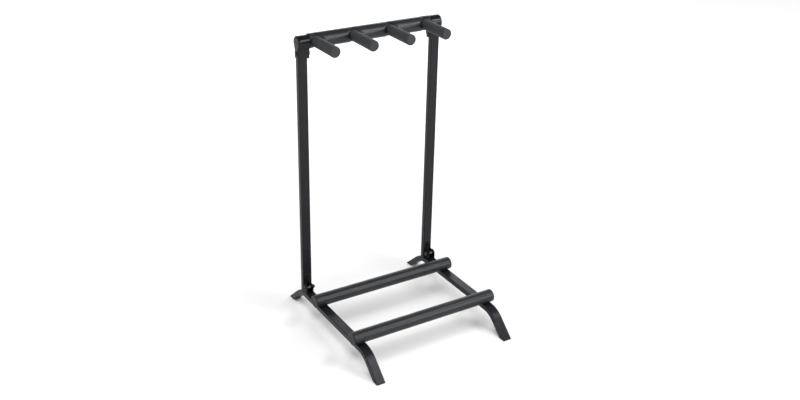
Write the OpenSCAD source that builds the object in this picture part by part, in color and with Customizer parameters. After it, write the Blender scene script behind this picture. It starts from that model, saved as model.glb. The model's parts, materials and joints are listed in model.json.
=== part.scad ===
// Folding guitar rack: two arched tube runners carry two padded cross bars, and a padded top bar
// with four padded neck pegs stands on two flat tube uprights that fold forward on clevis hinges.
// Origin: on the floor, midway between the toes. X runs across the rack, -Y is the front, Z is up.

/* [Overall] */
// Width over the outer faces of the runners and uprights
rack_width = 375; // [300:1:600]
// Depth on the floor, from front toe to rear toe
base_depth = 441; // [400:1:520]
// Height of the top bar's axis
bar_height = 690; // [450:1:900]
// Distance from the uprights' front face back to the rear toe
rear_reach = 81; // [74:1:86]

/* [Flat tube] */
// Tube width, across the rack
tube_w = 23; // [21:0.5:25]
// Tube thickness
tube_t = 13; // [12:0.5:15]
// Tube wall
tube_wall = 1.5; // [1:0.1:2]
// Outside corner radius of the tube
tube_corner = 1.5; // [1.2:0.1:3]
// Radius of the runner's bends, to the top face
bend_radius = 65; // [55:1:75]
// Slope of the runner's feet below level, in degrees
foot_slope = 41.5; // [38:0.5:45]
// Height of the runner's top face
runner_top = 55; // [50:1:62]

/* [Cross bars] */
// Radius of the base bars' steel tube
base_tube_r = 11; // [9:0.5:12]
// Thickness of the foam on the base bars
base_foam_t = 4.5; // [3:0.5:6]
// Overhang of the base bars past the runners, at each end
bar_overhang = 6.5; // [4:0.5:12]
// Rear base bar's axis, in front of the uprights' front face
rear_bar_gap = 77.5; // [65:0.5:95]
// Distance between the base bars' axes
bar_spacing = 184.5; // [150:0.5:200]
// Radius of the top bar's steel tube
top_tube_r = 12.5; // [11:0.5:13]
// Thickness of the foam on the top bar
top_foam_t = 4.5; // [3:0.5:6]

/* [Pegs] */
// Number of neck pegs
peg_count = 4; // [4:1:4]
// Distance between peg axes
peg_pitch = 96; // [60:1:97]
// Reach of the pegs from the top bar's axis
peg_reach = 102; // [80:1:130]
// Outside radius of the peg sleeves
peg_r = 12.7; // [10:0.1:12.7]
// Radius of the steel peg rods
rod_r = 6; // [4:0.5:7]

/* [Hinges] */
// Pivot in front of the uprights' front face
pivot_forward = 10; // [9:0.5:11]
// Pivot above the runner's top face
pivot_rise = 15; // [14:0.5:18]
// Width over the bracket's two ears
bracket_w = 18; // [17:0.5:20]
// Thickness of the hinge plates
plate_t = 2; // [1.5:0.1:2]

/* [Elbows] */
// Outside radius of the elbow round the top bar
elbow_r = 14.5; // [14.3:0.1:15]
// Depth of the elbow's socket below the top bar's axis
elbow_drop = 37; // [35:1:45]

/* [Hidden] */
$fn = 64;
x_out = rack_width / 2;
x_mid = x_out - tube_w / 2;
face_y = base_depth / 2 - rear_reach;
bar_y = face_y + tube_t / 2;

// Runner: the top face's slope line meets the floor at the toe, and a bend joins it to the level run
slope_run = runner_top / tan(foot_slope);
bend_start = round(50 * base_depth - 100 * slope_run - 100 * bend_radius * tan(foot_slope / 2)) / 100;
foot_len = base_depth / 4;
foot_pad = 2;
plug_depth = 16;
plug_gap = 0.15;

// Base bars
base_foam_r = base_tube_r + base_foam_t;
base_bar_z = runner_top + base_foam_r;
rear_bar_y = face_y - rear_bar_gap;
front_bar_y = rear_bar_y - bar_spacing;
bar_ys = [rear_bar_y, front_bar_y];
bar_end = x_out + bar_overhang;
cap_t = 3;
cap_plug = 5;
soft_gap = 0.1;
saddle_r = 8;
screw_r = 3;
run_gap = 0.05;

// Hinges
pivot_y = face_y - pivot_forward;
pivot_z = runner_top + pivot_rise;
ear_r = pivot_forward - 1;
lug_r = 7;
bracket_front = face_y - 27;
bracket_back = face_y - 1;
washer_t = 0.5;
lug_w = bracket_w - 2 * plate_t - 2 * washer_t - 0.2;
leaf_top = pivot_z + 27;
leaf_low = pivot_z - lug_r;
rivet_r = 2;
bracket_rivet_ys = [face_y - 22.5, face_y - 6];
leaf_rivet_zs = [leaf_top - 15, leaf_top - 5];
rivet_x = x_out - bracket_w / 2;
nut_r = 5.77;
nut_t = 5;

// Uprights, with a plug that stands just clear of the runner
stand_gap = 0.3;
upright_low = runner_top + stand_gap + foot_pad;
upright_top = bar_height - 16;

// Elbows
elbow_out = x_out + 1.2;
elbow_in = x_out - tube_w - 4.5;
elbow_lip = bar_height - elbow_drop;
elbow_half = tube_t / 2 + 2;
taper = 20;
taper_len = (elbow_r * cos(taper) - elbow_half) / sin(taper);
elbow_bolt_z = bar_height - 25;
tube_end = x_out - 1.8;
socket_gap = 0.1;
pocket = 3;

// Top bar and pegs
top_foam_r = top_tube_r + top_foam_t;
foam_end = elbow_in - 0.5;
peg_xs = [for (i = [0 : peg_count - 1]) (i - (peg_count - 1) / 2) * peg_pitch];
peg_hole_gap = 0.7;
rod_short = 8;
peg_round = 2.5;

FRAME_BLACK = [0.09, 0.09, 0.10];
HINGE_BLACK = [0.05, 0.05, 0.055];
FOAM_BLACK = [0.16, 0.16, 0.17];
PLASTIC_BLACK = [0.07, 0.07, 0.08];
STEEL = [0.45, 0.45, 0.47];

// ---- Shared shapes ----

// Everything with two sides is drawn on the right, at +X, and mirrored for the left
module on_side(side) {
    if (side < 0) mirror([1, 0, 0]) children();
    else children();
}

// Cylinder along +X from x to x + length
module rod_x(x, y, z, r, length, fn = $fn) {
    translate([x, y, z]) rotate([0, 90, 0]) cylinder(r = r, h = length, $fn = fn);
}

// Outline with round corners, centred on the origin
module round_rect(w, h, r) {
    square([w - 2 * r, h], center = true);
    square([w, h - 2 * r], center = true);
    for (sx = [-1, 1], sy = [-1, 1])
        translate([sx * (w / 2 - r), sy * (h / 2 - r)]) circle(r = r, $fn = 32);
}

// The flat tube's outline, made smaller all round by inset
module tube_outline(inset) {
    round_rect(tube_w - 2 * inset, tube_t - 2 * inset, max(tube_corner - inset, 0.4));
}

// Dome on a flat base, standing on z = 0
module dome(r, h) {
    ball = (r * r + h * h) / (2 * h);
    rotate_extrude() intersection() {
        translate([0, h - ball]) circle(r = ball, $fn = 96);
        square([r, h]);
    }
}

// ---- Runners and feet ----

module tube_section(trim = 0) {
    difference() {
        tube_outline(trim);
        tube_outline(tube_wall - trim);
    }
}

// Frame at the top of the rear foot's slope, +Z down the slope, in a runner standing on x = 0
module down_slope() {
    translate([0, bend_start, runner_top - bend_radius]) rotate([-foot_slope, 0, 0])
        translate([0, 0, bend_radius - tube_t / 2]) rotate([-90, 0, 0]) children();
}

// Bend and foot of the rear half: the foot runs 1 mm up inside the bend's wall
module bend_and_foot() {
    translate([0, bend_start, runner_top - bend_radius]) rotate([0, -90, 0])
        rotate_extrude(angle = foot_slope, $fn = 180)
            translate([bend_radius - tube_t / 2, 0]) rotate(90) tube_section();
    down_slope() translate([0, 0, -1]) linear_extrude(foot_len) tube_section(0.02);
}

module bent_tube() {
    translate([0, 0, runner_top - tube_t / 2]) rotate([90, 0, 0])
        linear_extrude(2 * bend_start, center = true) tube_section();
    for (end = [0, 1]) mirror([0, end, 0]) bend_and_foot();
}

module below(z) {
    translate([-tube_w, -base_depth, z - base_depth]) cube([2 * tube_w, 2 * base_depth, base_depth]);
}

module runner(side) {
    color(FRAME_BLACK) on_side(side) difference() {
        translate([x_mid, 0, 0]) difference() {
            bent_tube();
            below(foot_pad);
        }
        for (y = bracket_rivet_ys)
            translate([rivet_x, y, runner_top - 2 * tube_wall]) cylinder(r = rivet_r + run_gap, h = 4);
        for (y = bar_ys)
            translate([x_mid, y, runner_top - tube_t - 1]) cylinder(r = screw_r + 0.3, h = tube_t + 2);
    }
}

module left_runner() runner(-1);
module right_runner() runner(1);

// Rubber foot: a pad under the sloping tube end, and a plug up inside it
module foot(side, end) {
    color(PLASTIC_BLACK) on_side(side) translate([x_mid, 0, 0]) {
        if (end < 0) mirror([0, 1, 0]) foot_plug();
        else foot_plug();
    }
}

module foot_plug() {
    difference() {
        union() {
            difference() {
                down_slope() linear_extrude(foot_len) tube_outline(0);
                translate([-tube_w, -1, foot_pad]) cube([2 * tube_w, base_depth, 2 * runner_top]);
            }
            difference() {
                down_slope() linear_extrude(foot_len) tube_outline(tube_wall + plug_gap);
                translate([-tube_w, -1, plug_depth]) cube([2 * tube_w, base_depth, 2 * runner_top]);
            }
        }
        below(0);
    }
}

module front_left_foot() foot(-1, -1);
module front_right_foot() foot(1, -1);
module rear_left_foot() foot(-1, 1);
module rear_right_foot() foot(1, 1);

// ---- Base cross bars ----

module base_tube(y) {
    color(FRAME_BLACK) difference() {
        rod_x(cap_t - bar_end, y, base_bar_z, base_tube_r, 2 * (bar_end - cap_t));
        rod_x(-bar_end, y, base_bar_z, base_tube_r - tube_wall, 2 * bar_end);
        for (x = [-x_mid, x_mid])
            translate([x, y, runner_top]) cylinder(r = 4.5 + run_gap, h = base_foam_r);
    }
}

module base_foam(y) {
    color(FOAM_BLACK) difference() {
        rod_x(-bar_end, y, base_bar_z, base_foam_r, 2 * bar_end);
        rod_x(-bar_end - 1, y, base_bar_z, base_tube_r + soft_gap, 2 * bar_end + 2);
        for (x = [-x_mid, x_mid])
            translate([x, y, runner_top - 1]) cylinder(r = saddle_r + soft_gap, h = base_foam_r);
    }
}

// Plastic cap in a base tube's end, flush with the foam
module bar_cap(side, y) {
    color(PLASTIC_BLACK) on_side(side) union() {
        rod_x(bar_end - cap_t, y, base_bar_z, base_tube_r, cap_t);
        rod_x(bar_end - cap_t - cap_plug, y, base_bar_z, base_tube_r - tube_wall - plug_gap, cap_plug);
    }
}

module rear_base_tube() base_tube(rear_bar_y);
module front_base_tube() base_tube(front_bar_y);
module rear_base_foam() base_foam(rear_bar_y);
module front_base_foam() base_foam(front_bar_y);
module rear_left_bar_cap() bar_cap(-1, rear_bar_y);
module rear_right_bar_cap() bar_cap(1, rear_bar_y);
module front_left_bar_cap() bar_cap(-1, front_bar_y);
module front_right_bar_cap() bar_cap(1, front_bar_y);

module at_bar_ends() {
    for (x = [-x_mid, x_mid], y = bar_ys) translate([x, y, 0]) children();
}

// Saddle between the flat runner and the round tube
module bar_saddles() {
    color(PLASTIC_BLACK) at_bar_ends() difference() {
        translate([0, 0, runner_top]) cylinder(r = saddle_r, h = base_foam_r - 4);
        rod_x(-tube_w, 0, base_bar_z, base_tube_r + run_gap, 2 * tube_w);
        translate([0, 0, runner_top - 1]) cylinder(r = screw_r + 0.3, h = base_foam_r);
        translate([0, 0, runner_top + 3]) cylinder(r = 4.5 + soft_gap, h = base_foam_r);
    }
}

// Screw up through the runner and the saddle into the tube
module bar_screws() {
    color(STEEL) at_bar_ends() difference() {
        union() {
            translate([0, 0, runner_top - tube_t]) cylinder(r = screw_r, h = 24);
            translate([0, 0, runner_top - tube_t]) mirror([0, 0, 1]) dome(5.5, 3.3);
        }
        translate([0, 0, runner_top - tube_t - 4]) cylinder(r = 2, h = 2.5, $fn = 6);
    }
}

module bar_rivet_nuts() {
    color(STEEL) at_bar_ends() difference() {
        union() {
            translate([0, 0, runner_top + 3.6]) cylinder(r = 4.5, h = 8.4);
            translate([0, 0, runner_top + 8.4]) cylinder(r = 5.2, h = 2.4);
        }
        translate([0, 0, runner_top]) cylinder(r = screw_r + run_gap, h = 14);
    }
}

// ---- Hinges ----

// Ear of the bracket, in the plane of Y and Z with the pivot at the origin
module ear_outline() {
    circle(r = ear_r);
    translate([-ear_r, -pivot_rise]) square([2 * ear_r, pivot_rise]);
}

// Outline drawn in Y and Z, extruded along +X from x
module plate_x(x, thickness) {
    translate([x, pivot_y, pivot_z]) rotate([90, 0, 90]) linear_extrude(thickness) children();
}

module hinge_bracket(side) {
    color(HINGE_BLACK) on_side(side) difference() {
        union() {
            translate([x_out - bracket_w, bracket_front, runner_top])
                cube([bracket_w, bracket_back - bracket_front, plate_t]);
            for (x = [x_out - bracket_w, x_out - plate_t]) plate_x(x, plate_t) ear_outline();
        }
        rod_x(x_out - bracket_w - 1, pivot_y, pivot_z, screw_r + run_gap, bracket_w + 2);
        for (y = bracket_rivet_ys)
            translate([rivet_x, y, runner_top - 1]) cylinder(r = rivet_r + run_gap, h = plate_t + 2);
    }
}

module left_hinge_bracket() hinge_bracket(-1);
module right_hinge_bracket() hinge_bracket(1);

// Blind rivet along +Z, head up, with its seat at the origin and grip below it
module rivet(grip) {
    translate([0, 0, -grip - 1.5]) cylinder(r = rivet_r, h = grip + 1.5);
    translate([0, 0, -grip - 1.5]) cylinder(r = rivet_r + 0.7, h = 1.4);
    dome(3.6, 1.3);
}

module bracket_rivets() {
    color(HINGE_BLACK) for (side = [-1, 1], y = bracket_rivet_ys)
        translate([side * rivet_x, y, runner_top + plate_t]) rivet(plate_t + tube_wall);
}

// Button-head bolt through both ears, its head on the outside
module pivot_bolt(side) {
    color(STEEL) on_side(side) difference() {
        union() {
            rod_x(x_out - bracket_w - nut_t - 2, pivot_y, pivot_z, screw_r, bracket_w + nut_t + 2);
            translate([x_out, pivot_y, pivot_z]) rotate([0, 90, 0]) dome(5.5, 3.3);
        }
        rod_x(x_out + 1, pivot_y, pivot_z, 2, 4, 6);
    }
}

// Locking nut: a hexagon with a round collar, seated at x and pointing to -X
module lock_nut(x, y, z) {
    difference() {
        union() {
            rod_x(x - nut_t + 1.2, y, z, nut_r, nut_t - 1.2, 6);
            rod_x(x - nut_t, y, z, 4.6, nut_t);
        }
        rod_x(x - nut_t - 1, y, z, screw_r + run_gap, nut_t + 2);
    }
}

module pivot_nut(side) {
    color(STEEL) on_side(side) lock_nut(x_out - bracket_w, pivot_y, pivot_z);
}

module left_pivot_bolt() pivot_bolt(-1);
module right_pivot_bolt() pivot_bolt(1);
module left_pivot_nut() pivot_nut(-1);
module right_pivot_nut() pivot_nut(1);

// Thin washers between the bracket's ears and the leaf's ears
module pivot_washers() {
    color(PLASTIC_BLACK) for (side = [-1, 1]) on_side(side)
        for (x = [x_out - bracket_w + plate_t, x_out - plate_t - washer_t]) difference() {
            rod_x(x, pivot_y, pivot_z, 5.5, washer_t);
            rod_x(x - 1, pivot_y, pivot_z, screw_r + run_gap, washer_t + 2);
        }
}

// Ear of the leaf: round the pivot, and back to the upright with a short gusset
module lug_outline() {
    circle(r = lug_r);
    polygon([[0, -lug_r], [pivot_forward, -lug_r], [pivot_forward, 12], [pivot_forward - 2, 12], [0, lug_r]]);
}

module hinge_leaf(side) {
    lug_x = rivet_x - lug_w / 2;
    color(HINGE_BLACK) on_side(side) difference() {
        union() {
            translate([lug_x, face_y - plate_t, leaf_low]) cube([lug_w, plate_t, leaf_top - leaf_low]);
            for (x = [lug_x, lug_x + lug_w - plate_t]) plate_x(x, plate_t) lug_outline();
        }
        rod_x(lug_x - 1, pivot_y, pivot_z, screw_r + run_gap, lug_w + 2);
        for (z = leaf_rivet_zs)
            translate([rivet_x, face_y + 1, z]) rotate([90, 0, 0])
                cylinder(r = rivet_r + run_gap, h = plate_t + 2);
    }
}

module left_hinge_leaf() hinge_leaf(-1);
module right_hinge_leaf() hinge_leaf(1);

module leaf_rivets() {
    color(HINGE_BLACK) for (side = [-1, 1], z = leaf_rivet_zs)
        translate([side * rivet_x, face_y - plate_t, z]) rotate([90, 0, 0]) rivet(plate_t + tube_wall);
}

// Sleeve on the pivot bolt between the leaf's two ears
module pivot_sleeve(side) {
    sleeve_w = lug_w - 2 * plate_t;
    color(STEEL) on_side(side) difference() {
        rod_x(rivet_x - sleeve_w / 2, pivot_y, pivot_z, 5, sleeve_w);
        rod_x(rivet_x - lug_w, pivot_y, pivot_z, screw_r + run_gap, 2 * lug_w);
    }
}

module left_pivot_sleeve() pivot_sleeve(-1);
module right_pivot_sleeve() pivot_sleeve(1);

// ---- Uprights ----

module upright(side) {
    color(FRAME_BLACK) on_side(side) difference() {
        translate([x_mid, bar_y, upright_low]) linear_extrude(upright_top - upright_low) tube_section();
        rod_x(x_out - tube_w - 1, bar_y, elbow_bolt_z, screw_r + 0.2, tube_w + 2);
        for (z = leaf_rivet_zs)
            translate([rivet_x, face_y + 3, z]) rotate([90, 0, 0]) cylinder(r = rivet_r + run_gap, h = 4);
    }
}

module left_upright() upright(-1);
module right_upright() upright(1);

module upright_plug(side) {
    color(PLASTIC_BLACK) on_side(side) translate([x_mid, bar_y, 0]) {
        translate([0, 0, upright_low - foot_pad]) linear_extrude(foot_pad) tube_outline(0);
        translate([0, 0, upright_low]) linear_extrude(plug_depth) tube_outline(tube_wall + plug_gap);
    }
}

module left_upright_plug() upright_plug(-1);
module right_upright_plug() upright_plug(1);

// ---- Elbows ----

// Teardrop side view: round the bar, tapering to the socket, with the bar's axis at the origin
module elbow_outline() {
    rotate(-taper) translate([0, -taper_len - 2]) square([elbow_r - 0.02, taper_len + 2]);
    rotate(taper) translate([0.02 - elbow_r, -taper_len - 2]) square([elbow_r - 0.02, taper_len + 2]);
    circle(r = elbow_r, $fn = 96);
    translate([-elbow_half, -elbow_drop]) square([2 * elbow_half, elbow_drop - elbow_r - 1.5]);
}

module elbow(side) {
    color(PLASTIC_BLACK) on_side(side) difference() {
        translate([elbow_in, bar_y, bar_height]) rotate([90, 0, 90])
            linear_extrude(elbow_out - elbow_in) elbow_outline();
        rod_x(elbow_in - 1, bar_y, bar_height, top_tube_r + run_gap, tube_end - elbow_in + 1.2);
        translate([x_mid, bar_y, elbow_lip - 1]) linear_extrude(upright_top - elbow_lip + 1.2)
            tube_outline(-socket_gap);
        rod_x(elbow_in - 1, bar_y, elbow_bolt_z, screw_r + 0.2, elbow_out - elbow_in + 2);
        rod_x(elbow_in - 1, bar_y, elbow_bolt_z, nut_r + 0.15, pocket + 1, 6);
    }
}

module left_elbow() elbow(-1);
module right_elbow() elbow(1);

// Bolt across the socket, its domed head on the outside
module elbow_bolt(side) {
    reach = elbow_in + pocket - nut_t - 1;
    color(STEEL) on_side(side) {
        rod_x(reach, bar_y, elbow_bolt_z, screw_r, elbow_out - reach);
        translate([elbow_out, bar_y, elbow_bolt_z]) rotate([0, 90, 0]) dome(4.8, 3.2);
    }
}

module elbow_nut(side) {
    color(STEEL) on_side(side) lock_nut(elbow_in + pocket, bar_y, elbow_bolt_z);
}

module left_elbow_bolt() elbow_bolt(-1);
module right_elbow_bolt() elbow_bolt(1);
module left_elbow_nut() elbow_nut(-1);
module right_elbow_nut() elbow_nut(1);

// ---- Top bar and pegs ----

module top_tube() {
    color(FRAME_BLACK) difference() {
        rod_x(-tube_end, bar_y, bar_height, top_tube_r, 2 * tube_end);
        rod_x(-tube_end - 1, bar_y, bar_height, top_tube_r - tube_wall, 2 * tube_end + 2);
    }
}

// Cylinder along -Y from the bar's axis, at a peg
module peg_cylinder(x, r, length) {
    translate([x, bar_y, bar_height]) rotate([90, 0, 0]) cylinder(r = r, h = length);
}

module top_foam() {
    color(FOAM_BLACK) difference() {
        rod_x(-foam_end, bar_y, bar_height, top_foam_r, 2 * foam_end);
        rod_x(-foam_end - 1, bar_y, bar_height, top_tube_r + soft_gap, 2 * foam_end + 2);
        for (x = peg_xs) peg_cylinder(x, peg_r + peg_hole_gap, 2 * top_foam_r);
    }
}

// Steel rod welded to the top tube
module peg_rod(x) {
    color(FRAME_BLACK) difference() {
        peg_cylinder(x, rod_r, peg_reach - rod_short);
        rod_x(x - 2 * rod_r, bar_y, bar_height, top_tube_r, 4 * rod_r);
    }
}

// Foam sleeve with a closed, rounded end, fitted over the rod and up against the top tube
module peg_sleeve(x) {
    color(FOAM_BLACK) difference() {
        union() {
            peg_cylinder(x, peg_r, peg_reach - peg_round);
            peg_cylinder(x, peg_r - peg_round, peg_reach);
            translate([x, bar_y - peg_reach + peg_round, bar_height]) rotate([90, 0, 0])
                rotate_extrude() translate([peg_r - peg_round, 0]) circle(r = peg_round, $fn = 32);
        }
        peg_cylinder(x, rod_r + soft_gap, peg_reach - rod_short + soft_gap);
        rod_x(x - 2 * peg_r, bar_y, bar_height, top_tube_r + 2 * soft_gap, 4 * peg_r);
        translate([x - 2 * peg_r, bar_y - 2, bar_height - 2 * peg_r]) cube([4 * peg_r, 4 * peg_r, 4 * peg_r]);
    }
}

module peg_rod_1() peg_rod(peg_xs[0]);
module peg_rod_2() peg_rod(peg_xs[1]);
module peg_rod_3() peg_rod(peg_xs[2]);
module peg_rod_4() peg_rod(peg_xs[3]);
module peg_sleeve_1() peg_sleeve(peg_xs[0]);
module peg_sleeve_2() peg_sleeve(peg_xs[1]);
module peg_sleeve_3() peg_sleeve(peg_xs[2]);
module peg_sleeve_4() peg_sleeve(peg_xs[3]);

// ---- Assembly ----

left_runner();
right_runner();
front_left_foot();
front_right_foot();
rear_left_foot();
rear_right_foot();
rear_base_tube();
front_base_tube();
rear_base_foam();
front_base_foam();
rear_left_bar_cap();
rear_right_bar_cap();
front_left_bar_cap();
front_right_bar_cap();
bar_saddles();
bar_screws();
bar_rivet_nuts();
left_hinge_bracket();
right_hinge_bracket();
bracket_rivets();
left_pivot_bolt();
right_pivot_bolt();
left_pivot_nut();
right_pivot_nut();
pivot_washers();
left_hinge_leaf();
right_hinge_leaf();
leaf_rivets();
left_pivot_sleeve();
right_pivot_sleeve();
left_upright();
right_upright();
left_upright_plug();
right_upright_plug();
left_elbow();
right_elbow();
left_elbow_bolt();
right_elbow_bolt();
left_elbow_nut();
right_elbow_nut();
top_tube();
top_foam();
peg_rod_1();
peg_rod_2();
peg_rod_3();
peg_rod_4();
peg_sleeve_1();
peg_sleeve_2();
peg_sleeve_3();
peg_sleeve_4();
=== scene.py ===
import json
import math

import bmesh
import bpy
from mathutils import Matrix, Vector, noise

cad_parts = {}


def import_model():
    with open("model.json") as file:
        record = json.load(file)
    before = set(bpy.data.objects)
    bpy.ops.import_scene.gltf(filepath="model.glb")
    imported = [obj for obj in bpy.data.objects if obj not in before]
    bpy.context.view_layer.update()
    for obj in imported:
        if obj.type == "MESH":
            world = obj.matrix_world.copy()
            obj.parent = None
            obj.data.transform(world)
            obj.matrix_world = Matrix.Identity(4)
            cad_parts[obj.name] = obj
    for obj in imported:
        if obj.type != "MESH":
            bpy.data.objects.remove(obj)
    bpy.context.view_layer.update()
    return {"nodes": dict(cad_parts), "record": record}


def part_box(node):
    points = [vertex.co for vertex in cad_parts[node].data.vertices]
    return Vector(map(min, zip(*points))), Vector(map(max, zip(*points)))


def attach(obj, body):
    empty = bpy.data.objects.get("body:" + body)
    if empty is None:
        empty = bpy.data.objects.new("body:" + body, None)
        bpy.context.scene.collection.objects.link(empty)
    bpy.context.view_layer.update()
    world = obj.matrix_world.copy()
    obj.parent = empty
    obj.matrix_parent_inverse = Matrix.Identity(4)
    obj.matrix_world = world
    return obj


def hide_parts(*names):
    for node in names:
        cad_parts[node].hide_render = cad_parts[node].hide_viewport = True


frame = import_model()
nodes = frame["nodes"]
slot_of = {s["node"]: s["material_slot"] for s in frame["record"]["subparts"]}
body_of = {n: body for body, names in frame["record"]["behaviour"]["bodies"].items() for n in names}

MM = 0.001
FIT = 0.1 * MM  # room between a sleeve or a socket and what is inside it
BAR_EDGE = 1.8 * MM  # rounding at the ends of the foam on the bars
PEG_EDGE = 2.6 * MM  # rounding at the ends of the pegs
BAR_WAVE = 0.14 * MM  # how far the foam's skin strays from a true cylinder
PEG_WAVE = 0.10 * MM


# ---- Meshes ----

def smoothstep(lo, hi, v):
    """0 at lo and 1 at hi, with a soft start and end. lo may be the larger of the two."""
    t = min(max((v - lo) / (hi - lo), 0.0), 1.0)
    return t * t * (3 - 2 * t)


def shade(obj, angle=40):
    """Smooth shading, with a sharp edge wherever faces meet at more than that angle."""
    obj.data.shade_smooth()
    obj.data.set_sharp_from_angle(angle=math.radians(angle))


def link(name, bm, material):
    """Turns a bmesh into a shown piece with smooth shading."""
    mesh = bpy.data.meshes.new(name)
    bmesh.ops.recalc_face_normals(bm, faces=bm.faces)
    bm.to_mesh(mesh)
    bm.free()
    obj = bpy.data.objects.new(name, mesh)
    bpy.context.collection.objects.link(obj)
    mesh.materials.append(material)
    shade(obj)
    return obj


def baked(obj):
    """Applies the object's modifiers."""
    bpy.context.view_layer.update()
    mesh = bpy.data.meshes.new_from_object(obj.evaluated_get(bpy.context.evaluated_depsgraph_get()))
    obj.modifiers.clear()
    obj.data = mesh


def combine(obj, operation, tools):
    """Joins the tools to obj (UNION) or takes them out of it (DIFFERENCE), and deletes them."""
    for tool in tools:
        m = obj.modifiers.new("combine", "BOOLEAN")
        m.operation = operation
        m.solver = "EXACT"
        m.object = tool
    baked(obj)
    for tool in tools:
        bpy.data.objects.remove(tool)


def rings(bm, loops, close_ends=True):
    """Skins a list of rings of equal count. The ends are closed, or else the last ring joins the first."""
    rows = [[bm.verts.new(p) for p in loop] for loop in loops]
    count = len(rows[0])
    path = rows if close_ends else rows + rows[:1]
    for a, b in zip(path, path[1:]):
        for i in range(count):
            bm.faces.new((a[i], a[(i + 1) % count], b[(i + 1) % count], b[i]))
    if close_ends:
        bm.faces.new(rows[0])
        bm.faces.new(list(reversed(rows[-1])))


def turned_ring(origin, axis, t, r, around, wave=0.0, pitch=45):
    """Points round the axis, t along it and r from it. A soft skin strays by wave, pitch times a metre."""
    z = Vector(axis).normalized()
    x = z.orthogonal().normalized()
    y = z.cross(x)
    points = []
    for i in range(around):
        a = 2 * math.pi * i / around
        n = x * math.cos(a) + y * math.sin(a)
        p = Vector(origin) + z * t + n * r
        points.append(p + n * wave * noise.noise(p * pitch))
    return points


def lathe(name, profile, origin, axis, material, wave=0.0, around=96, ring=False):
    """Turns a profile of (distance along the axis, radius) round it. With ring, the section is closed."""
    bm = bmesh.new()
    loops = [turned_ring(origin, axis, t, r, around, wave) for t, r in profile]
    rings(bm, loops, close_ends=not ring)
    return link(name, bm, material)


def closed_lathe(name, outer, inner, origin, axis, material, wave, around=72):
    """A turned cup: the outer profile ends on the axis, and the inner profile comes back from it."""
    bm = bmesh.new()
    rows = []
    for t, r in outer + inner:
        if r < 1e-9:
            points = turned_ring(origin, axis, t, 0.0, around=1)
        else:
            points = turned_ring(origin, axis, t, r, around, wave, pitch=60)
        rows.append([bm.verts.new(p) for p in points])
    for a, b in zip(rows, rows[1:] + rows[:1]):
        if len(a) == 1 and len(b) == 1:
            continue
        for i in range(around):
            j = (i + 1) % around
            if len(a) == 1:
                bm.faces.new((a[0], b[j], b[i]))
            elif len(b) == 1:
                bm.faces.new((a[i], a[j], b[0]))
            else:
                bm.faces.new((a[i], a[j], b[j], b[i]))
    return link(name, bm, material)


def rounded_end(t, r, edge, towards, steps=5):
    """Profile points from the side round the corner at (t, r) to the end, which faces towards (1 or -1)."""
    out = []
    for i in range(steps + 1):
        a = math.pi / 2 * i / steps
        out.append((t - towards * edge * (1 - math.sin(a)), r - edge * (1 - math.cos(a))))
    return out


def cylinder(name, a, b, r, around=96):
    a, b = Vector(a), Vector(b)
    return lathe(name, [(0, r), ((b - a).length, r)], a, b - a, materials["tool"], around=around)


def box_tool(name, base, size):
    """Box centred on base in X and Y, standing on it, size = half width, half depth, height."""
    bm = bmesh.new()
    hx, hy, h = size
    corners = [(-hx, -hy), (hx, -hy), (hx, hy), (-hx, hy)]
    rings(bm, [[Vector(base) + Vector((x, y, z)) for x, y in corners] for z in (0, h)])
    return link(name, bm, materials["tool"])


def centre(node):
    """The middle of a node's box, and half its size."""
    lo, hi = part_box(node)
    return (lo + hi) / 2, (hi - lo) / 2


def stand_for(obj, node):
    """The piece stands in for that CAD node, which is hidden, and takes the node's body."""
    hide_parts(node)
    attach(obj, body_of[node])


def softened(node, width, material):
    """A copy of a CAD node with its sharp edges rounded over, standing for the node."""
    obj = nodes[node].copy()
    obj.data = nodes[node].data.copy()
    obj.name = node + "_soft"
    for key in list(obj.keys()):
        del obj[key]
    bpy.context.collection.objects.link(obj)
    obj.parent = None
    bm = bmesh.new()
    bm.from_mesh(obj.data)
    bmesh.ops.remove_doubles(bm, verts=bm.verts, dist=2e-6)
    bmesh.ops.dissolve_limit(bm, angle_limit=math.radians(0.5), verts=bm.verts, edges=bm.edges)
    bm.to_mesh(obj.data)
    bm.free()
    m = obj.modifiers.new("round", "BEVEL")
    m.width = width
    m.segments = 3
    m.limit_method = "ANGLE"
    m.angle_limit = math.radians(35)
    m.use_clamp_overlap = True
    baked(obj)
    obj.data.materials.clear()
    obj.data.materials.append(material)
    shade(obj, 35)
    stand_for(obj, node)


# ---- Materials ----

def node_material(name):
    m = bpy.data.materials.new(name)
    m.use_nodes = True
    tree = m.node_tree
    bsdf = next(n for n in tree.nodes if n.type == "BSDF_PRINCIPLED")
    coord = tree.nodes.new("ShaderNodeTexCoord")
    return m, tree, bsdf, coord.outputs["Object"]


def noise_node(tree, coord, scale, detail=3.0, rough=0.5, stretch=None):
    n = tree.nodes.new("ShaderNodeTexNoise")
    n.inputs["Scale"].default_value = scale
    n.inputs["Detail"].default_value = detail
    n.inputs["Roughness"].default_value = rough
    if stretch:
        m = tree.nodes.new("ShaderNodeMapping")
        m.inputs["Scale"].default_value = stretch
        tree.links.new(coord, m.inputs["Vector"])
        coord = m.outputs["Vector"]
    tree.links.new(coord, n.inputs["Vector"])
    return n.outputs["Fac"]


def spread(tree, value, lo, hi, start=0.3, end=0.7):
    """Maps start..end of a value onto lo..hi. Most of a noise lies between 0.3 and 0.7."""
    n = tree.nodes.new("ShaderNodeMapRange")
    tree.links.new(value, n.inputs["Value"])
    for key, v in (("From Min", start), ("From Max", end), ("To Min", lo), ("To Max", hi)):
        n.inputs[key].default_value = v
    return n.outputs["Result"]


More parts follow.
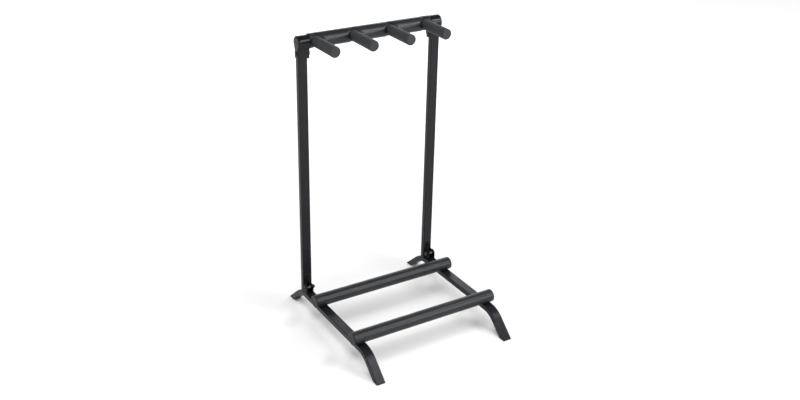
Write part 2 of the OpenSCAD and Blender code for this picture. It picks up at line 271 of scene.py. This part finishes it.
def mix_colour(tree, fac, a, b):
    """a and b are plain colours or sockets."""
    n = tree.nodes.new("ShaderNodeMix")
    n.data_type = "RGBA"
    tree.links.new(fac, n.inputs["Factor"])
    for socket, v in ((n.inputs["A"], a), (n.inputs["B"], b)):
        if isinstance(v, tuple):
            socket.default_value = (*v, 1)
        else:
            tree.links.new(v, socket)
    return n.outputs["Result"]


def bump(tree, bsdf, layers):
    """layers: (height value, distance in metres, strength), each on top of the last."""
    last = None
    for height, distance, strength in layers:
        n = tree.nodes.new("ShaderNodeBump")
        n.inputs["Distance"].default_value = distance
        n.inputs["Strength"].default_value = strength
        tree.links.new(height, n.inputs["Height"])
        if last:
            tree.links.new(last, n.inputs["Normal"])
        last = n.outputs["Normal"]
    tree.links.new(last, bsdf.inputs["Normal"])


def edge_mask(tree, radius, gain):
    """Up to gain along sharp edges, where the rounded normal leaves the face's own."""
    b = tree.nodes.new("ShaderNodeBevel")
    b.samples = 4
    b.inputs["Radius"].default_value = radius
    g = tree.nodes.new("ShaderNodeNewGeometry")
    d = tree.nodes.new("ShaderNodeVectorMath")
    d.operation = "DOT_PRODUCT"
    tree.links.new(b.outputs["Normal"], d.inputs[0])
    tree.links.new(g.outputs["Normal"], d.inputs[1])
    return spread(tree, d.outputs["Value"], gain, 0.0, start=0.80, end=0.995)


def times(tree, a, b):
    n = tree.nodes.new("ShaderNodeMath")
    n.operation = "MULTIPLY"
    tree.links.new(a, n.inputs[0])
    tree.links.new(b, n.inputs[1])
    return n.outputs["Value"]


def painted(name, dark, light, worn, rough, peel, shine):
    """Powder coat: orange peel, fine grit, a little colour drift, and rubbed edges."""
    m, tree, bsdf, coord = node_material(name)
    drift = noise_node(tree, coord, 14, 4)
    peel_height = noise_node(tree, coord, 420, 2)
    grit = noise_node(tree, coord, 2600, 2)
    scuffs = noise_node(tree, coord, 90, 6, 0.65, stretch=(1, 1, 0.25))
    base = mix_colour(tree, spread(tree, drift, 0.0, 1.0), dark, light)
    rubbed = times(tree, edge_mask(tree, 0.6 * MM, 0.5), spread(tree, scuffs, 0.0, 1.0, 0.42, 0.66))
    tree.links.new(mix_colour(tree, rubbed, base, worn), bsdf.inputs["Base Color"])
    tree.links.new(spread(tree, scuffs, rough - 0.06, rough + 0.08, 0.25, 0.75), bsdf.inputs["Roughness"])
    bsdf.inputs["Specular IOR Level"].default_value = shine
    bump(tree, bsdf, [(peel_height, 0.12 * MM, peel), (grit, 0.03 * MM, peel)])
    return m


def foam(name, dark, light, rough, shine):
    """Closed-cell foam: a fine skin with pores, painted shade darkening the pores, and faint mottling."""
    m, tree, bsdf, coord = node_material(name)
    mottle = noise_node(tree, coord, 38, 5, 0.6)
    cells = tree.nodes.new("ShaderNodeTexVoronoi")
    cells.inputs["Scale"].default_value = 1100
    tree.links.new(coord, cells.inputs["Vector"])
    grain = noise_node(tree, coord, 1700, 3, 0.6)
    base = mix_colour(tree, spread(tree, mottle, 0.0, 1.0), dark, light)
    # One mask gives the pores' dimples in the bump and painted shade in their hollows.
    pores_and_shade = spread(tree, cells.outputs["Distance"], 0.0, 1.0, 0.05, 0.6)
    # Painted shade: the pores' hollows are drawn darker, down to 0.8 of the dark tone.
    tree.links.new(mix_colour(tree, pores_and_shade, tuple(0.8 * c for c in dark), base), bsdf.inputs["Base Color"])
    tree.links.new(spread(tree, grain, rough - 0.05, rough + 0.07), bsdf.inputs["Roughness"])
    bsdf.inputs["Specular IOR Level"].default_value = shine
    bump(tree, bsdf, [(mottle, 0.4 * MM, 0.25), (pores_and_shade, 0.12 * MM, 0.35), (grain, 0.08 * MM, 0.35)])
    return m


def moulded(name, dark, light, rough, texture):
    """Moulded plastic or rubber: faint flow, fine grain, and sharp edges drawn slightly lighter as a painted
    highlight.
    """
    m, tree, bsdf, coord = node_material(name)
    flow = noise_node(tree, coord, 60, 3, 0.5, stretch=(0.4, 1, 1))
    grain = noise_node(tree, coord, 1900, 2)
    base = mix_colour(tree, spread(tree, flow, 0.0, 1.0), dark, light)
    # Painted highlight: along sharp edges the colour rises to 2.2 times the light tone.
    edge = edge_mask(tree, 0.5 * MM, 0.35)
    tree.links.new(mix_colour(tree, edge, base, tuple(2.2 * c for c in light)), bsdf.inputs["Base Color"])
    tree.links.new(spread(tree, flow, rough - 0.05, rough + 0.06), bsdf.inputs["Roughness"])
    bsdf.inputs["Specular IOR Level"].default_value = 0.2
    bump(tree, bsdf, [(flow, 0.2 * MM, 0.3 * texture), (grain, 0.04 * MM, texture)])
    return m


def steel(name, dark, light, rough):
    """Plated or blackened steel: turning marks and small stains."""
    m, tree, bsdf, coord = node_material(name)
    stain = noise_node(tree, coord, 220, 4, 0.6)
    lines = noise_node(tree, coord, 900, 2, 0.5, stretch=(6, 1, 1))
    bsdf.inputs["Metallic"].default_value = 1.0
    tree.links.new(mix_colour(tree, spread(tree, stain, 0.0, 1.0), dark, light), bsdf.inputs["Base Color"])
    tree.links.new(spread(tree, stain, rough + 0.12, rough - 0.05), bsdf.inputs["Roughness"])
    bump(tree, bsdf, [(lines, 0.03 * MM, 0.4)])
    return m


materials = {
    "frame_paint": painted("frame_paint", (0.0056, 0.0059, 0.0080), (0.0084, 0.0088, 0.0114),
                           worn=(0.05, 0.05, 0.055), rough=0.34, peel=0.20, shine=0.19),
    "hinge_paint": painted("hinge_paint", (0.004, 0.004, 0.005), (0.007, 0.007, 0.0085),
                           worn=(0.06, 0.06, 0.065), rough=0.46, peel=0.15, shine=0.07),
    "foam": foam("foam", (0.0105, 0.0118, 0.0136), (0.0165, 0.0182, 0.0204), rough=0.36, shine=0.27),
    "peg_foam": foam("peg_foam", (0.0265, 0.0286, 0.0304), (0.0345, 0.0370, 0.0392), rough=0.62, shine=0.22),
    "rubber": moulded("rubber", (0.009, 0.009, 0.0095), (0.014, 0.014, 0.0148), rough=0.55, texture=0.35),
    "gloss_plastic": moulded("gloss_plastic", (0.0036, 0.0040, 0.0052), (0.0055, 0.0060, 0.0076),
                             rough=0.25, texture=0.06),
    "plastic": moulded("plastic", (0.010, 0.0105, 0.0115), (0.015, 0.0155, 0.017), rough=0.42, texture=0.25),
    "black_steel": steel("black_steel", (0.030, 0.030, 0.032), (0.060, 0.060, 0.064), rough=0.32),
    "zinc_steel": steel("zinc_steel", (0.30, 0.30, 0.31), (0.44, 0.44, 0.45), rough=0.30),
    "tool": bpy.data.materials.new("tool"),
}
for name, obj in nodes.items():
    for s in obj.material_slots:
        s.material = materials[slot_of[name]]


# ---- Foam ----

def sleeve_profile(length, r_out, r_in, edge, step=4 * MM):
    """Closed section of a foam tube from 0 to length."""
    outer = list(reversed(rounded_end(0, r_out, edge, -1)))
    count = max(2, int((length - 2 * edge) / step))
    outer += [(edge + (length - 2 * edge) * i / count, r_out) for i in range(1, count)]
    outer += rounded_end(length, r_out, edge, 1)
    inner = [(length, r_in), (0, r_in)]
    return outer + inner


def base_bar(which):
    """Foam sleeve, a little to the left along its tube and flat on the runners, with a plug in each end."""
    past_left, short_right = 4 * MM, 2 * MM
    node, tube = which + "_base_foam", which + "_base_tube"
    mid, half = centre(node)
    tube_half = centre(tube)[1]
    left = mid.x - half.x - past_left
    right = mid.x + half.x - short_right
    profile = sleeve_profile(right - left, half.y, tube_half.z + FIT, BAR_EDGE)
    obj = lathe(node + "_sleeve", profile, (left, mid.y, mid.z), (1, 0, 0), materials["foam"],
                wave=BAR_WAVE, ring=True)
    runner_lo, runner_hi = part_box("right_runner")
    rests_at = runner_hi.z + 0.05 * MM
    for v in obj.data.vertices:
        v.co.z = max(v.co.z, rests_at)
        over_runner = smoothstep(runner_lo.x - 6 * MM, runner_lo.x + MM, abs(v.co.x))
        bulge = over_runner * smoothstep(rests_at + 5 * MM, rests_at + MM, v.co.z)
        v.co.y += bulge * 0.5 * MM * (1 if v.co.y > mid.y else -1)
    stand_for(obj, node)
    for side, name, face in ((-1, "left", left), (1, "right", right)):
        bar_cap(f"{which}_{name}_bar_cap", (side * tube_half.x, mid.y, mid.z), side, abs(face), tube_half.z)


def bar_cap(node, seat, side, face, r):
    """Moulded plug: a shank in the tube, and a domed flange with a moulding pip in the foam's end."""
    shank, shank_r = 4.5 * MM, r - 1.65 * MM
    dome, dish, pip = 0.5 * MM, 0.4 * MM, 0.3 * MM
    sink = 0.6 * MM
    depth = face - abs(seat[0])
    profile = [(-shank, shank_r), (0, shank_r), (0.01 * MM, r)]
    profile += rounded_end(depth, r, 0.7 * MM, 1)
    profile += [(depth - dome, 0.72 * r), (depth - dish, 0.4 * r), (depth - pip, 0.14 * r),
                (depth - sink, 0.11 * r), (depth - sink, 0.02 * r)]
    obj = lathe(node + "_plug", profile, seat, (side, 0, 0), materials["plastic"], around=64)
    stand_for(obj, node)


def top_foam():
    """Foam sleeve on the top bar, with a hole for each peg and drawn in round its foot."""
    drawn_in, reach = 2.4 * MM, 7 * MM
    mid, half = centre("top_foam")
    bore = centre("top_tube")[1].z + FIT
    origin = (mid.x - half.x, mid.y, mid.z)
    obj = lathe("top_foam_sleeve", sleeve_profile(2 * half.x, half.z, bore, BAR_EDGE, step=2 * MM),
                origin, (1, 0, 0), materials["foam"], wave=BAR_WAVE, around=144, ring=True)
    pegs = [centre(f"peg_sleeve_{i}") for i in range(1, 5)]
    for v in obj.data.vertices:
        radial = Vector((0, v.co.y - mid.y, v.co.z - mid.z))
        if v.co.y > mid.y or radial.length < half.z - 3 * MM:
            continue
        for c, h in pegs:
            gap = math.hypot(v.co.x - c.x, v.co.z - c.z) - h.x
            v.co -= radial.normalized() * drawn_in * smoothstep(reach, 0.5 * MM, gap)
    holes = [cylinder("hole", (c.x, mid.y, c.z), (c.x, mid.y - 2 * half.z, c.z), h.x + 0.9 * MM)
             for c, h in pegs]
    combine(obj, "DIFFERENCE", holes)
    shade(obj)
    stand_for(obj, "top_foam")


def peg_sleeve(i):
    """Foam cup on a peg's rod, with a rounded, slightly dished end, cut to the bar at its foot."""
    step, dish = 4 * MM, 0.25 * MM
    node = f"peg_sleeve_{i}"
    lo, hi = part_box(node)
    c, h = centre(node)
    bar, bar_half = centre("top_tube")
    rod_lo, rod_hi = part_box(f"peg_rod_{i}")
    bore = (rod_hi.x - rod_lo.x) / 2 + FIT
    depth = hi.y - rod_lo.y + FIT
    length, r = hi.y - lo.y, h.x
    outer = [(step * k, r) for k in range(int(length / step))]
    outer += [p for p in rounded_end(length, r, PEG_EDGE, 1, steps=8) if p[0] > outer[-1][0]]
    face = [(length - 0.15 * MM, 0.55 * r), (length - dish, 0.2 * r), (length - dish, 0.0)]
    obj = closed_lathe(node + "_foam", outer + face, [(depth, 0.0), (depth, bore), (0, bore)],
                       (c.x, hi.y, c.z), (0, -1, 0), materials["peg_foam"], PEG_WAVE)
    bar_start, bar_end = (c.x - 2 * r, bar.y, bar.z), (c.x + 2 * r, bar.y, bar.z)
    combine(obj, "DIFFERENCE", [cylinder("bar", bar_start, bar_end, bar_half.z + 0.2 * MM)])
    shade(obj)
    stand_for(obj, node)


base_bar("rear")
base_bar("front")
top_foam()
for i in range(1, 5):
    peg_sleeve(i)


# ---- Elbows ----

def teardrop(r, half, drop, arc=56, sides=8):
    """Side view of the elbow as (y, z) from the bar's axis, starting at the mouth's -Y corner."""
    taper = math.radians(20)
    start = Vector((-r * math.cos(taper), -r * math.sin(taper)))
    run = (r * math.cos(taper) - half) / math.sin(taper)
    knee = Vector((-half, start.y - run * math.cos(taper)))
    mouth = Vector((-half, -drop))
    left = [mouth.lerp(knee, k / sides) for k in range(sides)] + [knee.lerp(start, k / 3) for k in range(3)]
    top = []
    for k in range(arc + 1):
        a = math.pi + taper - (math.pi + 2 * taper) * k / arc
        top.append(Vector((r * math.cos(a), r * math.sin(a))))
    return left + top + [Vector((-p.x, p.y)) for p in reversed(left)]


def elbow_body(side, bar, near, far, r, half, drop):
    """The solid elbow: outlines from its inner end to its outer one, drawn in at both roundings."""
    inner_round, outer_round = 1.2 * MM, 3.2 * MM
    hold = 0.3 * MM
    sections = list(reversed(rounded_end(near, 0.0, inner_round, -1, steps=4)))
    sections += [(near + inner_round + hold, 0.0), (far - outer_round - hold, 0.0)]
    sections += rounded_end(far, 0.0, outer_round, 1, steps=8)
    loops = []
    for x, level in sections:
        inset = -level
        outline = teardrop(r - inset, half - min(inset, 1.6 * MM), drop - 0.35 * inset)
        loops.append([Vector((side * x, bar.y + p.x, bar.z + p.y)) for p in outline])
    bm = bmesh.new()
    rings(bm, loops)
    return bm


def elbow(side, name, swell):
    """Moulded elbow, its barrel larger by swell, with sockets and a boss round the bolt and the nut."""
    node, upright = name + "_elbow", name + "_upright"
    lo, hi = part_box(node)
    bar, bar_half = centre("top_tube")
    up, up_half = centre(upright)
    far, near = (hi.x, lo.x) if side > 0 else (-lo.x, -hi.x)
    bolt_z = centre(name + "_elbow_bolt")[0].z
    bm = elbow_body(side, bar, near, far, (hi.y - lo.y) / 2 + swell, up_half.y + 2 * MM, bar.z - lo.z)
    obj = link(node + "_moulding", bm, materials["gloss_plastic"])

    for x, out, wide, high in ((near, -1, 8.2 * MM, 1.6 * MM), (far, 1, 6.6 * MM, 0.9 * MM)):
        profile = [(-1.5 * MM, wide + 0.5 * MM), (0, wide), (high - 0.4 * MM, wide - 0.15 * MM),
                   (high, wide - 0.6 * MM), (high, 0.2 * wide)]
        foot = (side * x, bar.y, bolt_z)
        boss = lathe("boss", profile, foot, (side * out, 0, 0), materials["tool"], around=64)
        combine(obj, "UNION", [boss])

    def across(tool, start, end, z, r, around=48):
        return cylinder(tool, (side * start, bar.y, z), (side * end, bar.y, z), r, around)

    clear = 10 * MM
    mouth = lo.z - 5 * MM
    socket_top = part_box(upright)[1].z + 0.2 * MM
    combine(obj, "DIFFERENCE", [
        across("bore", near - MM, bar_half.x + 0.2 * MM, bar.z, bar_half.z + 0.05 * MM, around=96),
        box_tool("socket", (up.x, up.y, mouth), (up_half.x + FIT, up_half.y + FIT, socket_top - mouth)),
        across("bolt", near - clear, far + clear, bolt_z, 3.2 * MM),
        across("pocket", near - clear, near + 3 * MM, bolt_z, 6.1 * MM),
        across("head", far + clear, far, bolt_z, 5.2 * MM),
    ])
    shade(obj, 38)
    stand_for(obj, node)


elbow(-1, "left", 0.4 * MM)
elbow(1, "right", 1.9 * MM)


# ---- Rounded edges on the pressed and moulded parts ----

for side in ("left", "right"):
    softened(f"{side}_hinge_bracket", 0.5 * MM, materials["hinge_paint"])
    softened(f"{side}_hinge_leaf", 0.4 * MM, materials["hinge_paint"])
    softened(f"{side}_upright_plug", 0.4 * MM, materials["plastic"])
    for end in ("front", "rear"):
        softened(f"{end}_{side}_foot", 0.7 * MM, materials["rubber"])


# ---- Camera, floor and light ----

def camera():
    """Turned by azimuth, elevation and roll. back points from the object to the camera."""
    place = (-1.12955, -1.79502, 1.35793)
    az, el, roll = (math.radians(v) for v in (-32.181, 26.024, 1.365))
    back = Vector((math.sin(az) * math.cos(el), -math.cos(az) * math.cos(el), math.sin(el)))
    level_right = (-back).cross(Vector((0, 0, 1))).normalized()
    level_up = level_right.cross(-back)
    right = level_right * math.cos(roll) + level_up * math.sin(roll)
    up = level_up * math.cos(roll) - level_right * math.sin(roll)
    data = bpy.data.cameras.new("camera")
    data.sensor_fit = "HORIZONTAL"
    data.sensor_width = 36.0
    data.lens = 45.358
    data.clip_start = 0.05
    data.clip_end = 60.0
    obj = bpy.data.objects.new("camera", data)
    turn = Matrix((right, up, back)).transposed().to_4x4()
    obj.matrix_world = Matrix.Translation(place) @ turn
    bpy.context.collection.objects.link(obj)
    bpy.context.scene.camera = obj


def floor():
    """Pale floor with painted shade round the object: darker near it, going over to the plain pale floor
    from 0.5 m to 1.9 m away.
    """
    bm = bmesh.new()
    bmesh.ops.create_grid(bm, x_segments=8, y_segments=8, size=9.0)
    m, tree, bsdf, coord = node_material("floor")
    reach = tree.nodes.new("ShaderNodeVectorMath")
    reach.operation = "LENGTH"
    tree.links.new(coord, reach.inputs[0])
    drift = noise_node(tree, coord, 1.5, 3)
    # Painted shade: near the object the floor is drawn darker, 0.66 to 0.68 with a faint random tone,
    # against 0.90 further out.
    near = mix_colour(tree, spread(tree, drift, 0.0, 1.0), (0.66, 0.66, 0.66), (0.68, 0.68, 0.68))
    # The painted shade fades out between 0.5 m and 1.9 m from the floor's centre.
    painted_shade_fade = spread(tree, reach.outputs["Value"], 0.0, 1.0, 0.5, 1.9)
    tree.links.new(mix_colour(tree, painted_shade_fade, near, (0.90, 0.90, 0.90)), bsdf.inputs["Base Color"])
    bsdf.inputs["Roughness"].default_value = 0.55
    bsdf.inputs["Specular IOR Level"].default_value = 0.2
    obj = link("floor", bm, m)


def add_light(name, kind, place, target, power, glossy=True):
    """No light is seen directly. One that isn't glossy doesn't show in reflections either."""
    data = bpy.data.lights.new(name, kind)
    data.energy = power
    obj = bpy.data.objects.new(name, data)
    obj.location = place
    obj.rotation_euler = (Vector(target) - Vector(place)).to_track_quat("-Z", "Y").to_euler()
    obj.visible_glossy = glossy
    obj.visible_camera = False
    bpy.context.collection.objects.link(obj)
    return data


def softbox(name, place, target, size, power):
    data = add_light(name, "AREA", place, target, power)
    data.shape = "RECTANGLE"
    data.size, data.size_y = size


def overhead(power, angle):
    """Wide even light from nearly straight above, as strong all over the floor, with soft shadows."""
    data = add_light("overhead", "SUN", (-0.24, -0.05, 1.0), (0, 0, 0), power, glossy=False)
    data.angle = math.radians(angle)


def world(low, high):
    """Studio surround: level low up to the horizon and just above it, level high overhead."""
    w = bpy.data.worlds.new("studio")
    w.use_nodes = True
    tree = w.node_tree
    coord = tree.nodes.new("ShaderNodeTexCoord")
    split = tree.nodes.new("ShaderNodeSeparateXYZ")
    tree.links.new(coord.outputs["Generated"], split.inputs["Vector"])
    level = spread(tree, split.outputs["Z"], low, high, 0.08, 0.24)
    tree.links.new(level, tree.nodes["Background"].inputs["Color"])
    bpy.context.scene.world = w


camera()
floor()
world(low=0.92, high=0.22)
overhead(power=2.8, angle=46)
softbox("left", (-2.6, 0.9, 1.5), (-0.4, 0.3, 0), (1.6, 1.6), 20)
softbox("front_right", (1.25, -2.15, 1.0), (0, 0, 0.35), (0.9, 0.30), 29)
softbox("front_top", (0.72, -0.84, 1.48), (0, 0.146, 0.69), (1.0, 0.24), 15)
softbox("back_right", (1.5, 2.2, 1.3), (0, 0, 0.05), (1.6, 0.8), 14)
bpy.context.scene.view_settings.view_transform = "Standard"
